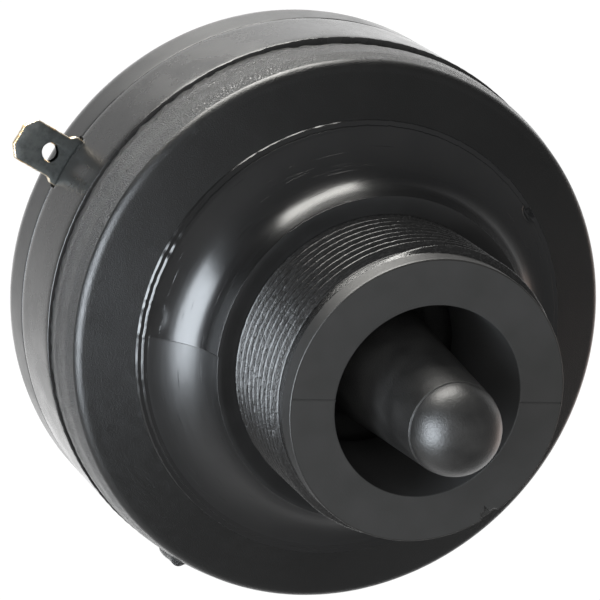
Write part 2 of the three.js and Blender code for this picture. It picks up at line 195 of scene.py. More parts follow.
glow = 0.04  # the room's own radiance
for radiance, field in (
    (1.8, sky.math("POWER", lobe(-TO_CAMERA, 0.2, 0.95), 2.0)),  # the backdrop behind the object
    (0.6, lobe((0.0, -1.0, 0.05), 0.75, 1.0)),  # a card low at the front
    (0.2, lobe((0.15, -0.1, 1.0), -0.25, 0.75)),  # the room above
):
    glow = sky.math("MULTIPLY_ADD", field, radiance, glow)
seen = sky.node("ShaderNodeLightPath").outputs["Is Camera Ray"]
strength = sky.node("ShaderNodeMix", {0: seen, 2: glow, 3: 1.0}).outputs[0]
background = sky.node("ShaderNodeBackground", {"Color": (1, 1, 1, 1), "Strength": strength})
sky.node("ShaderNodeOutputWorld", {"Surface": background.outputs[0]})


def floor_material():
    made = bpy.data.materials.new("pale_floor")
    made.use_nodes = True
    graph = Graph(made.node_tree)
    paper = graph.node("ShaderNodeBsdfDiffuse", {"Color": (0.12, 0.12, 0.12, 1)})
    glow = graph.node("ShaderNodeEmission", {"Color": (1, 1, 1, 1), "Strength": 0.97})
    top = graph.node("ShaderNodeAddShader", {0: paper.outputs[0], 1: glow.outputs[0]})
    clear = graph.node("ShaderNodeBsdfTransparent")
    below = graph.node("ShaderNodeNewGeometry").outputs["Backfacing"]
    both = graph.node("ShaderNodeMixShader", {0: below, 1: top.outputs[0], 2: clear.outputs[0]})
    graph.node("ShaderNodeOutputMaterial", {"Surface": both.outputs[0]})
    return made


FLOOR_HALF = 3.0
floor_mesh = bpy.data.meshes.new("floor")
floor_mesh.from_pydata(
    [(x * FLOOR_HALF, y * FLOOR_HALF, 0) for x, y in ((-1, -1), (1, -1), (1, 1), (-1, 1))],
    [],
    [(0, 1, 2, 3)],
)
floor_mesh.materials.append(floor_material())
floor = bpy.data.objects.new("floor", floor_mesh)
floor.visible_diffuse = floor.visible_glossy = floor.visible_transmission = False
floor.visible_shadow = False
bpy.context.scene.collection.objects.link(floor)

# Materials ------------------------------------------------------------------------------------------------


class Finish(Graph):
    """A material on one Principled shader. Feature sizes are in mm, and bump heights too."""

    def __init__(self, name, color, roughness, ior=1.5, metallic=0.0):
        self.material = bpy.data.materials.new(name)
        self.material.use_nodes = True
        super().__init__(self.material.node_tree)
        place = self.node("ShaderNodeTexCoord").outputs["Object"]
        self.place = self.node(
            "ShaderNodeVectorMath", {0: place, "Scale": 1 / MM}, operation="SCALE"
        ).outputs["Vector"]
        self.shader = self.node("ShaderNodeBsdfPrincipled", {
            "Base Color": (*color, 1.0), "Roughness": roughness, "IOR": ior, "Metallic": metallic
        })
        self.node("ShaderNodeOutputMaterial", {"Surface": self.shader.outputs[0]})
        self.normal = None

    def set(self, **fields):
        """Links fields to the shader's base and roughness."""
        for name, field in fields.items():
            socket = {"base": "Base Color", "roughness": "Roughness"}[name]
            self.tree.links.new(field, self.shader.inputs[socket])

    def vary(self, field, dark, light, smooth, rough, low=0.3, high=0.7):
        """Colour that follows a field from low to high, and roughness that follows it from 0.3 to 0.7."""
        roughness = self.span(field, 0.3, 0.7, smooth, rough)
        self.set(base=self.mix(self.span(field, low, high), dark, light), roughness=roughness)
        return roughness

    def noise(self, size, detail=2.0, roughness=0.5, vector=None, distortion=0.0):
        inputs = {
            "Vector": vector or self.place,
            "Scale": 1 / size,
            "Detail": detail,
            "Roughness": roughness,
            "Distortion": distortion,
        }
        return self.node("ShaderNodeTexNoise", inputs).outputs[0]

    def radius_and_level(self):
        x, y, z = self.node("ShaderNodeSeparateXYZ", {0: self.place}).outputs
        squares = self.math("ADD", self.math("MULTIPLY", x, x), self.math("MULTIPLY", y, y))
        return x, y, z, self.math("SQRT", squares)

    def rings(self, around, across, detail=3.0, roughness=0.6):
        """Noise drawn out round the axis: waves per radian around, and the size of a streak across, in mm."""
        x, y, z, r = self.radius_and_level()
        east = self.math("MULTIPLY", self.math("DIVIDE", x, r), around)
        north = self.math("MULTIPLY", self.math("DIVIDE", y, r), around)
        out = self.math("MULTIPLY", r, 1 / across)
        up = self.math("MULTIPLY", z, 1 / across)
        vector = self.node("ShaderNodeCombineXYZ", {0: east, 1: north, 2: out}).outputs[0]
        inputs = {"Vector": vector, "W": up, "Scale": 1.0, "Detail": detail, "Roughness": roughness}
        return self.node("ShaderNodeTexNoise", inputs, noise_dimensions="4D").outputs[0]

    def bump(self, height, distance):
        """Adds a height field of a depth in mm on top of those before it."""
        inputs = {"Height": height, "Distance": distance * MM}
        if self.normal is not None:
            inputs["Normal"] = self.normal
        self.normal = self.node("ShaderNodeBump", inputs).outputs[0]
        self.tree.links.new(self.normal, self.shader.inputs["Normal"])
        return self


def grey(value, tint=(1.0, 1.0, 1.0)):
    return tuple(value * t for t in tint)


def spark_plastic(name, albedo, roughness, grain, depth, speckle):
    """Moulded black plastic with a spark-eroded texture."""
    made = Finish(name, grey(albedo), roughness)
    pits = made.span(made.noise(grain, detail=3.0, roughness=0.6), 0.35, 0.68, smooth=True)
    cloud = made.noise(9.0, detail=3.0)
    dust = made.span(made.noise(0.5, detail=1.0), 0.7, 0.82)
    light = made.math("MULTIPLY_ADD", dust, speckle, made.span(cloud, 0.3, 0.7, 0.85, 1.15))
    made.set(
        base=made.mix(made.math("MULTIPLY", light, 0.5), (0, 0, 0), grey(albedo * 2, (0.98, 1.0, 1.0))),
        roughness=made.span(made.noise(1.4, detail=4.0), 0.25, 0.75, roughness - 0.05, roughness + 0.07),
    )
    return made.bump(pits, depth).bump(cloud, 0.05).material


def glossy_collar(name, sharp_half, dull_half):
    """Polished moulding, whose two mould halves differ in gloss to either side of the parting plane."""
    made = Finish(name, (0.02, 0.02, 0.021), sharp_half)
    streaks = made.rings(4.0, 0.5, detail=4.0, roughness=0.65)
    lines = made.span(made.rings(3.0, 0.16, detail=2.0), 0.66, 0.74)
    cloud = made.noise(5.0, detail=3.0)
    x, y, _, _ = made.radius_and_level()
    angle = np.radians(SPLIT_LINE)
    side = made.math("SUBTRACT", made.math("MULTIPLY", x, np.sin(angle)), made.math("MULTIPLY", y, np.cos(angle)))
    half = made.span(made.span(side, -0.05, 0.05), 0, 1, sharp_half, dull_half)
    made.set(
        base=made.mix(cloud, grey(0.017, (0.96, 1.0, 1.04)), grey(0.024, (1.0, 1.0, 1.02))),
        roughness=made.math("ADD", made.span(streaks, 0.3, 0.75, -0.03, 0.04), half),
    )
    return made.bump(cloud, 0.03).bump(streaks, 0.006).bump(lines, 0.03).material


def turned_face():
    made = Finish("neck_face_satin", (0.042, 0.042, 0.043), 0.6)
    made.vary(made.noise(4.0, detail=4.0), grey(0.044, (1, 1.02, 1.0)), grey(0.052), 0.55, 0.64)
    return made.bump(made.noise(0.22, detail=3.0), 0.014).bump(made.rings(3.0, 0.3), 0.004).material


def thread_plastic():
    made = Finish("thread_satin", (0.02, 0.02, 0.021), 0.3)
    grit = made.noise(0.3, detail=2.0, roughness=0.6)
    tears = made.rings(14.0, 0.12, detail=4.0, roughness=0.7)
    made.set(
        base=made.mix(made.span(grit, 0.5, 0.8), grey(0.016), grey(0.05)),
        roughness=made.span(tears, 0.3, 0.7, 0.2, 0.34),
    )
    return made.bump(grit, 0.05).bump(tears, 0.03).material


def satin_plastic(name, albedo, roughness, grit=0.006, tint=(1.0, 1.0, 1.0)):
    """Moulded black plastic with a smooth satin skin and faint flow marks."""
    made = Finish(name, grey(albedo), roughness)
    cloud = made.noise(6.0, detail=5.0, roughness=0.6)
    scuff = made.span(made.noise(1.1, detail=4.0, roughness=0.75), 0.62, 0.8)
    even = made.vary(
        cloud, grey(albedo * 0.85, tint), grey(albedo * 1.2, tint), roughness - 0.05, roughness + 0.05
    )
    made.set(roughness=made.math("MULTIPLY_ADD", scuff, 0.12, even))
    return made.bump(cloud, 0.02).bump(made.noise(0.3, detail=3.0), grit).material


def plug_plastic():
    made = Finish("plug_satin", (0.03, 0.03, 0.031), 0.42)
    pits = made.span(made.noise(0.24, detail=2.0, roughness=0.7), 0.3, 0.6)
    cloud = made.noise(2.5, detail=4.0)
    scuff = made.span(made.noise(0.8, detail=5.0, roughness=0.8), 0.6, 0.75)
    even = made.vary(cloud, grey(0.026), grey(0.044, (1, 1, 0.98)), 0.35, 0.43)
    made.set(roughness=made.math("MULTIPLY_ADD", scuff, 0.12, even))
    return made.bump(pits, 0.014).bump(cloud, 0.03).material


def metal(name, color, stain, roughness, grain, depth, brushed=None):
    """A metal with stains. Brushed is the axis (0, 1 or 2) that its rolling lines run along."""
    made = Finish(name, color, roughness, metallic=1.0)
    vector = made.place
    if brushed is not None:
        stretch = [1.0, 1.0, 1.0]
        stretch[brushed] = 0.06
        vector = made.node(
            "ShaderNodeVectorMath", {0: made.place, 1: tuple(stretch)}, operation="MULTIPLY"
        ).outputs["Vector"]
    lines = made.noise(grain, detail=3.0, vector=vector)
    patches = made.noise(1.6, detail=5.0, roughness=0.65)
    even = made.vary(patches, color, stain, roughness, roughness + 0.18, 0.42, 0.62)
    made.set(roughness=made.math("ADD", even, made.span(lines, 0.3, 0.7, -0.04, 0.04)))
    return made.bump(lines, depth).bump(patches, 0.02).material


def fibrous(name, color, light, roughness, size, depth, detail=5.0):
    """Felted paper or foam."""
    made = Finish(name, color, roughness)
    fibres = made.noise(size, detail=detail, roughness=0.7, distortion=1.2)
    made.vary(fibres, color, light, roughness - 0.1, roughness)
    cells = {"Vector": made.place, "Scale": 1 / (size * 1.6), "Randomness": 1.0}
    pores = made.node("ShaderNodeTexVoronoi", cells).outputs["Distance"]
    return made.bump(fibres, depth).bump(pores, depth * 0.5).material


def woven(name, color, light, thread):
    """Coated cloth: threads of one width woven over and under, round the axis and out from it."""
    made = Finish(name, color, 0.7)
    made.shader.inputs["Sheen Weight"].default_value = 0.25
    x, y, _, r = made.radius_and_level()
    warp = made.math("SINE", made.math("MULTIPLY", made.math("ARCTAN2", y, x), 180.0))
    weft = made.math("SINE", made.math("MULTIPLY", r, np.pi / thread))
    checks = made.math("MULTIPLY", warp, weft)
    fuzz = made.noise(thread * 0.6, detail=4.0)
    made.set(
        base=made.mix(made.span(made.math("ADD", checks, fuzz), -0.4, 1.4), color, light),
        roughness=made.span(fuzz, 0.3, 0.7, 0.55, 0.8),
    )
    return made.bump(made.math("ABSOLUTE", checks), 0.06).bump(fuzz, 0.02).material


def insulation(name, color, dark):
    made = Finish(name, color, 0.4, ior=1.52)
    made.vary(made.noise(1.5, detail=4.0), color, dark, 0.33, 0.48)
    return made.bump(made.noise(0.3, detail=3.0), 0.008).material


def wafer_ceramic():
    made = Finish("wafer_ceramic", (0.60, 0.56, 0.46), 0.55)
    grain = made.noise(0.12, detail=4.0)
    made.vary(grain, (0.50, 0.46, 0.37), (0.68, 0.63, 0.53), 0.45, 0.62)
    return made.bump(grain, 0.01).material


def clear_silicone():
    made = Finish("silicone_bead", (0.62, 0.62, 0.58), 0.3, ior=1.41)
    made.shader.inputs["Subsurface Weight"].default_value = 0.35
    made.shader.inputs["Subsurface Scale"].default_value = 0.6 * MM
    cloud = made.noise(0.9, detail=3.0)
    made.vary(cloud, (0.5, 0.5, 0.46), (0.7, 0.7, 0.66), 0.25, 0.4)
    return made.bump(cloud, 0.05).material


def glue():
    made = Finish("black_glue", (0.01, 0.01, 0.01), 0.25)
    lumps = made.noise(0.5, detail=3.0, distortion=0.5)
    made.vary(lumps, grey(0.007), grey(0.02, (1.1, 0.95, 0.8)), 0.2, 0.5, low=0.4)
    return made.bump(lumps, 0.12).material


SIDE = spark_plastic("flange_side_grain", 0.05, 0.32, 0.22, 0.09, speckle=0.9)
CORNER = spark_plastic("flange_corner_satin", 0.014, 0.34, 0.2, 0.014, speckle=0.5)
FRONT = spark_plastic("flange_front_grain", 0.0115, 0.33, 0.14, 0.012, speckle=0.3)
COLLAR = glossy_collar("collar_gloss", 0.23, 0.35)
SEAM = glossy_collar("seam_gloss", 0.16, 0.25)
SHOULDER = satin_plastic("shoulder_satin", 0.016, 0.6)
THREAD = thread_plastic()
TIP = satin_plastic("neck_tip_satin", 0.026, 0.46, tint=(1.03, 1.0, 0.95))
FACE = turned_face()
# Painted light: the bore's plastic is lighter than the flange front's (0.04 against 0.0115), standing in for fill
# light that barely reaches down the deep throat.
BORE = satin_plastic("bore_satin", 0.04, 0.8)
RING = satin_plastic("ring_satin", 0.030, 0.27, grit=0.012)
COVER = satin_plastic("cover_satin", 0.030, 0.33, grit=0.012, tint=(0.97, 1.0, 1.03))
PLUG = plug_plastic()
GLUE = glue()
TINNED = metal("tinned_brass", (0.36, 0.38, 0.37), (0.2, 0.21, 0.205), 0.3, 0.10, 0.012, brushed=0)
PUNCHED = metal("punched_edge", (0.72, 0.66, 0.55), (0.62, 0.42, 0.2), 0.3, 0.12, 0.03)
SOLDER = metal("solder", (0.66, 0.67, 0.68), (0.5, 0.5, 0.49), 0.22, 0.2, 0.02)
BRASS = metal("rolled_brass", (0.66, 0.47, 0.18), (0.5, 0.33, 0.13), 0.3, 0.12, 0.006, brushed=1)
SILVERED = metal("fired_silver", (0.74, 0.73, 0.70), (0.6, 0.58, 0.53), 0.42, 0.15, 0.01)
CERAMIC = wafer_ceramic()
PAPER = fibrous("felted_paper", (0.045, 0.04, 0.036), (0.085, 0.075, 0.064), 0.95, 0.22, 0.05)
CLOTH = woven("coated_cloth", (0.028, 0.025, 0.022), (0.07, 0.062, 0.055), 0.34)
FOAM = fibrous("damping_foam", (0.04, 0.042, 0.046), (0.1, 0.105, 0.11), 1.0, 0.5, 0.3, detail=2.0)
SILICONE = clear_silicone()
RED_PVC = insulation("red_pvc", (0.42, 0.03, 0.022), (0.3, 0.02, 0.016))
BLACK_PVC = insulation("black_pvc", (0.02, 0.02, 0.021), (0.03, 0.03, 0.031))

# Mesh building --------------------------------------------------------------------------------------------


def smoothstep(t):
    t = np.clip(t, 0, 1)
    return t * t * (3 - 2 * t)


def ripple(angle, seed, low, high, power=0.5):
    """A random curve round the turn, of about unit height, with low to high waves in it."""
    random = np.random.default_rng(seed)
    waves = np.arange(low, high + 1)
    share = waves ** -float(power)
    phase = random.uniform(0, TURN, waves.size)
    curve = (share[:, None] * np.cos(waves[:, None] * np.ravel(angle) + phase[:, None])).sum(0)
    return (curve / np.sqrt((share**2).sum() / 2)).reshape(np.shape(angle))


def off_by(angle, centre):
    """The signed angle from a centre given in degrees, in degrees."""
    return (np.degrees(angle) - centre + 180) % 360 - 180


def window(angle, start, end, fade=8.0):
    """1 within a stretch of the turn and 0 outside it, in degrees, with soft ends."""
    middle, half = (start + end) / 2, (end - start) / 2
    return smoothstep((half + fade - np.abs(off_by(angle, middle))) / fade)


def columns(count, *dense):
    """Angles round the whole turn, with extra ones in each dense stretch (centre, half width, step) in degrees."""
    turn = [np.linspace(0, 360, count + 1)]
    for centre, half, step in dense:
        turn.append((centre + np.arange(-half, half + step / 2, step)) % 360)
    degrees = np.unique(np.round(np.concatenate(turn), 4))
    return np.radians(degrees)


def rounded(corners, closed=False, arc=4):
    """An outline through corners (a, b) or (a, b, fillet), whose fillets become arcs."""
    made = []
    for i, corner in enumerate(corners):
        here = np.array(corner[:2], float)
        fillet = corner[2] if len(corner) > 2 else 0
        inner = closed or 0 < i < len(corners) - 1
        if not (fillet and inner):
            made.append(here)
            continue
        before = np.array(corners[i - 1][:2], float) - here
        after = np.array(corners[(i + 1) % len(corners)][:2], float) - here
        back, on = before / np.linalg.norm(before), after / np.linalg.norm(after)
        half = np.arccos(np.clip(back @ on, -1, 1)) / 2
        reach = min(fillet / np.tan(half), 0.49 * np.linalg.norm(before), 0.49 * np.linalg.norm(after))
        radius = reach * np.tan(half)
        middle = here + (back + on) / np.linalg.norm(back + on) * radius / np.sin(half)
        start, end = here + back * reach - middle, here + on * reach - middle
        sweep = np.arctan2(start[0] * end[1] - start[1] * end[0], start @ end)
        for t in np.linspace(0, 1, arc + 1):
            c, s = np.cos(sweep * t), np.sin(sweep * t)
            made.append(middle + np.array([c * start[0] - s * start[1], s * start[0] + c * start[1]]))
    return np.array(made)


def spaced(points, step):
    """The same line with no stretch between two points longer than a step."""
    made = [points[:1]]
    for a, b in zip(points[:-1], points[1:]):
        count = max(1, int(np.ceil(np.linalg.norm(b - a) / step)))
        made.append(a + (b - a) * (np.arange(1, count + 1) / count)[:, None])
    return np.concatenate(made)


def bowed(start, end, sagitta, steps):
    """A flat arc between two points, bowed to the right of the way it runs."""
    start, end = np.array(start, float), np.array(end, float)
    chord = end - start
    aside = np.array([chord[1], -chord[0]]) / np.linalg.norm(chord)
    t = np.linspace(0, 1, steps + 1)[:, None]
    return start + chord * t + aside * sagitta * 4 * t * (1 - t)


def lattice(name, points, materials, row_materials=None, wrap=False, sharp=38.0):
    """A smooth-shaded mesh on rows and columns of points in mm. Points that meet become one vertex, and wrap
    joins the last row to the first. Columns aren't wrapped: their last points repeat their first."""
    points = np.asarray(points, float)
    if wrap:
        points = np.concatenate([points, points[:1]])
    rows, cols = points.shape[:2]
    keys = np.round(points.reshape(-1, 3) / SAME_POINT).astype(np.int64)
    _, first, index = np.unique(keys, axis=0, return_index=True, return_inverse=True)
    vertices = points.reshape(-1, 3)[first]
    grid = index.reshape(rows, cols)
    faces = np.stack([grid[:-1, :-1], grid[:-1, 1:], grid[1:, 1:], grid[1:, :-1]], -1).reshape(-1, 4)
    of_row = np.zeros(rows - 1, int) if row_materials is None else np.asarray(row_materials)[: rows - 1]
    repeats = faces == np.roll(faces, -1, 1)
    folded = (faces[:, 0] == faces[:, 2]) | (faces[:, 1] == faces[:, 3])
    keep = (repeats.sum(1) < 2) & ~folded
    face_materials = np.repeat(of_row, cols - 1)[keep]
    faces = np.where(repeats, -1, faces)[keep]  # a triangle has one -1
    sizes = (faces >= 0).sum(1)

    mesh = bpy.data.meshes.new(name)
    mesh.vertices.add(len(vertices))
    mesh.vertices.foreach_set("co", (vertices * MM).astype(np.float32).ravel())
    mesh.loops.add(int(sizes.sum()))
    mesh.loops.foreach_set("vertex_index", faces[faces >= 0].astype(np.int32))
    mesh.polygons.add(len(faces))
    mesh.polygons.foreach_set("loop_start", np.concatenate([[0], np.cumsum(sizes)[:-1]]).astype(np.int32))
    mesh.polygons.foreach_set("material_index", face_materials.astype(np.int32))
    mesh.update(calc_edges=True)
    mesh.validate()
    return mesh_object(name, mesh, materials, sharp)


def mesh_object(name, mesh, materials, sharp=38.0):
    """A smooth-shaded object of a mesh, with edges past an angle left sharp."""
    for material in materials:
        mesh.materials.append(material)
    mesh.shade_smooth()
    mesh.set_sharp_from_angle(angle=np.radians(sharp))
    made = bpy.data.objects.new(name, mesh)
    bpy.context.scene.collection.objects.link(made)
    return made


def lathe(name, runs, angles, shape=None, wrap=True, sharp=38.0):
    """A turned piece. Each run is (material, outline points or a function of the angles that gives radii and
    levels). Shape may change the radii and levels: it gets radii, levels, angles and the run of each row."""
    materials, radii, levels, run_of_row = [], [], [], []
    for run, (material, outline) in enumerate(runs):
        if material not in materials:
            materials.append(material)
        if callable(outline):
            r, z = outline(angles)
        else:
            r = np.repeat(outline[:, :1], angles.size, 1)
            z = np.repeat(outline[:, 1:], angles.size, 1)
        radii.append(r)
        levels.append(z)
        run_of_row += [run] * len(r)
    radii, levels = np.concatenate(radii), np.concatenate(levels)
    run_of_row = np.array(run_of_row)
    if shape:
        radii, levels = shape(radii.copy(), levels.copy(), angles[None, :], run_of_row)
    turn = np.where(angles >= TURN - 1e-9, 0.0, angles)
    points = np.stack([radii * np.cos(turn), radii * np.sin(turn), levels], -1)
    row_materials = [materials.index(runs[run][0]) for run in run_of_row]
    return lattice(name, points, materials, row_materials, wrap, sharp)


def tube(name, path, radius, material, sides=16):
    """A round wire along points in mm, with flat ends."""
    path = np.asarray(path, float)
    along = np.gradient(path, axis=0)
    along /= np.linalg.norm(along, axis=1)[:, None]
    aside = np.cross(along[0], [0.0, 0.0, 1.0])
    if np.linalg.norm(aside) < 0.1:
        aside = np.cross(along[0], [0.0, 1.0, 0.0])
    frames = []
    for direction in along:
        aside = aside - direction * (aside @ direction)
        aside /= np.linalg.norm(aside)
        frames.append((aside, np.cross(direction, aside)))
    angles = np.append(np.linspace(0, TURN, sides, endpoint=False), 0.0)
    rings = [np.repeat(path[:1], angles.size, 0)]
    for point, (u, v) in zip(path, frames):
        rings.append(point + radius * (np.cos(angles)[:, None] * u + np.sin(angles)[:, None] * v))
    rings.append(np.repeat(path[-1:], angles.size, 0))
    return lattice(name, np.array(rings), [material])


def spline(points, count):
    """A smooth line through points: Catmull-Rom, by distance."""
    points = np.asarray(points, float)
    padded = np.concatenate([2 * points[:1] - points[1:2], points, 2 * points[-1:] - points[-2:-1]])
    made = []
    for i in range(1, len(padded) - 2):
        p0, p1, p2, p3 = padded[i - 1 : i + 3]
        t = np.linspace(0, 1, 24, endpoint=False)[:, None]
        made.append(
            0.5 * (2 * p1 + (p2 - p0) * t + (2 * p0 - 5 * p1 + 4 * p2 - p3) * t**2
                   + (3 * p1 - p0 - 3 * p2 + p3) * t**3)
        )
    line = np.concatenate([*made, points[-1:]])
    lengths = np.concatenate([[0], np.cumsum(np.linalg.norm(np.diff(line, axis=0), axis=1))])
    wanted = np.linspace(0, lengths[-1], count)
    return np.stack([np.interp(wanted, lengths, line[:, k]) for k in range(3)], 1)


def bevelled_bar(name, low, high, radius, material, azimuth=0.0):
    """A bar from its lowest and highest corners, with rounded edges, turned round Z by degrees."""
    low, high = np.array(low, float), np.array(high, float)
    builder = bmesh.new()
    bmesh.ops.create_cube(builder, size=1.0)
    for vertex in builder.verts:
        vertex.co = Vector((np.array(vertex.co) + 0.5) * (high - low) + low) * MM
    bmesh.ops.bevel(
        builder, geom=builder.edges[:], offset=radius * MM, segments=3, profile=0.5, affect="EDGES"
    )
    bmesh.ops.rotate(builder, verts=builder.verts, matrix=Matrix.Rotation(np.radians(azimuth), 3, "Z"))
    mesh = bpy.data.meshes.new(name)
    builder.to_mesh(mesh)
    builder.free()
    return mesh_object(name, mesh, [material])


def join(name, pieces):
    """One object of several."""
    bpy.ops.object.select_all(action="DESELECT")
    for piece in pieces:
        piece.select_set(True)
    bpy.context.view_layer.objects.active = pieces[0]
    bpy.ops.object.join()
    pieces[0].name = name
    return pieces[0]


def install(piece, node, body="housing"):
    """Puts a piece in a CAD node's place, on one of the bodies."""
    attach(piece, body)
    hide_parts(node)
    return piece


# Front housing --------------------------------------------------------------------------------------------

RIB_RADIUS = {"front": 1.0, "rear": 1.3}
RIB_TOP = {"front": SKIRT_Z + 4.4, "rear": JOINT_Z}
RIB_FOOT = {"front": SKIRT_Z, "rear": JOINT_Z - 2.4}


def with_ribs(radii, levels, angles, which, reach, rows):
    """The radii of a shell's outside with a half-round rib standing out at -Y."""
    round_r = RIB_RADIUS[which]
    middle = reach - round_r
    off = np.radians(off_by(angles, RIB_TURN))
    lateral = BODY_R * np.sin(off)
    stands = middle + np.sqrt(np.clip(round_r**2 - lateral**2, 0, None))
    near = (np.abs(lateral) < round_r) & (np.abs(off) < 1)
    ease = smoothstep((RIB_TOP[which] - levels) / 0.35 + 0.5) * smoothstep((levels - RIB_FOOT[which]) / 0.3 + 0.5)
    lifted = radii + (np.hypot(stands, lateral) - radii).clip(0, None) * ease
    return np.where(near & rows, lifted, radii)


def thread_rows(angles):
    """Radii and levels of a right-hand 60 degree thread, full at the shoulder and faded out at its top."""
    fractions = np.array([0, 0.06, 0.12, 0.2, 0.27, 0.33, 0.365, 0.4, 0.43, 0.455, 0.478, 0.5])
    fractions = np.concatenate([fractions, 1 - fractions[-2:0:-1]])
    crest = 0.15  # half the width of the rounded crest, in pitches
    slope = 1 / (0.46 - crest / 2)
    turns = np.arange(-2, 11)
    along = (turns[:, None] + fractions[None, :]).reshape(-1, 1)
    climb = along + angles[None, :] / TURN
    low = COLLAR_Z - 0.27
    levels = np.clip(THREAD_Z + THREAD_PITCH * climb, low, THREAD_TOP_Z)
    start = (low - THREAD_Z) / THREAD_PITCH
    foot = start - angles[None, :] / TURN
    part = np.tile(fractions, turns.size)[:, None]
    off = np.abs(np.where(climb < start, foot % 1.0, part) - 0.5)
    rise = np.where(off < crest, 1 - slope * off**2 / (2 * crest), 1 - slope * (off - crest / 2))
    turn = climb - part
    fade = smoothstep((THREAD_END_TURN - turn) / 0.1)
    nick = 1 - 0.05 * smoothstep(ripple(angles[None, :] + turn * 0.37, 5, 20, 90) - 0.9)
    radii = THREAD_ROOT_R + THREAD_DEPTH * np.clip(rise, 0, 1) * fade * nick
    return radii, levels


# The front housing's outline, in runs from the skirt's foot over the outside and down the bore.
(SIDE_RUN, CORNER_RUN, FRONT_RUN, SEAM_RUN, COLLAR_RUN, SHOULDER_RUN, THREAD_RUN, TIP_RUN, FACE_RUN,
 BORE_RUN) = range(10)
CORNER_FOOT_Z, CORNER_END_R = 25.28, 32.3  # where the flange's rounded corner starts and ends
SHUT = (138, 262, 14)  # degrees: the stretch where the glue joint closes, and its fade
GATE = 331.5  # degrees: the gate's scar on the mouth's edge
DIMPLE, DIMPLE_R = 200.8, 24.9  # degrees and mm: a sunk mark on the collar
PIT = 64.6  # degrees: a pit in the seam
FLASHES = ((37.0, 0.07), (41.5, 0.05), (34.0, 0.05), (72.0, 0.06), (74.5, 0.04))  # on the seam: degrees, height


def front_outline():
    side = spaced(rounded([
        (SHELL_R, SKIRT_Z),
        (SKIRT_R - 0.3, SKIRT_Z, 0.2),
        (SKIRT_R, SKIRT_Z + 1.95, 4.0),
        (SKIRT_R - 0.2, SKIRT_Z + 4.85),
        (33.15, 26.27, 1.5),
        (SEAM_R + 0.78, 28.7),
    ], arc=9), 0.4)
    side = side[side[:, 0] > SEAM_R + 0.8]
    upright = side[:, 1] < CORNER_FOOT_Z
    front = (side[:, 0] < CORNER_END_R) & (side[:, 1] > 26)
    seam = rounded([
        (SEAM_R + 0.8, 28.69), (SEAM_R + 0.78, 28.68, 0.03), (SEAM_R + 0.70, 28.92, 0.04),
        (SEAM_R + 0.16, SEAM_Z - 0.1, 0.04), (SEAM_R + 0.08, SEAM_Z + 0.16, 0.05), (SEAM_R - 0.12, SEAM_Z + 0.17)
    ])
    collar = bowed((SEAM_R - 0.12, SEAM_Z + 0.17), (COLLAR_R, COLLAR_Z - 0.12), -COVE, 34)[1:]
    rim = rounded([collar[-1], (COLLAR_R, COLLAR_Z, 0.17), (COLLAR_R - 0.4, COLLAR_Z)])
    collar = np.concatenate([collar[:-1], rim])
    collar, lip = collar[:-1], collar[-2:]
    shoulder = spaced(np.concatenate([
        lip, [(COLLAR_R - 0.5, COLLAR_Z), (THREAD_MAJOR_R + 0.1, COLLAR_Z - 0.28), (THREAD_ROOT_R, COLLAR_Z - 0.28)]
    ]), 0.5)
    tip = spaced(rounded([
        (THREAD_ROOT_R, THREAD_TOP_Z + 0.01), (THREAD_ROOT_R, MOUTH_Z, 0.16), (THREAD_ROOT_R - 1, MOUTH_Z)
    ]), 0.4)
    tip = tip[tip[:, 0] > THREAD_ROOT_R - 0.2]
    face = spaced(rounded([
        (tip[-1][0] - 0.01, MOUTH_Z), (BORE_R, MOUTH_Z, 0.12), (BORE_R, MOUTH_Z - 1)
    ]), 0.22)
    face = face[face[:, 1] > MOUTH_Z - 0.2]
    bore = spaced(rounded([
        (BORE_R, MOUTH_Z - 0.25), (BORE_R, 32.5, 3.0), (12.0, 30.8), (13.6, 29.4), (17.0, 28.0), (24.5, SEAT_Z, 1.0),
        (SHELL_R, SEAT_Z, 0.25), (SHELL_R, SKIRT_Z + 0.1),
    ]), 1.2)
    return [
        (SIDE, side[upright]), (CORNER, side[~upright & ~front]), (FRONT, side[front]), (SEAM, seam),
        (COLLAR, collar), (SHOULDER, shoulder), (THREAD, thread_rows), (TIP, tip), (FACE, face), (BORE, bore),
    ]


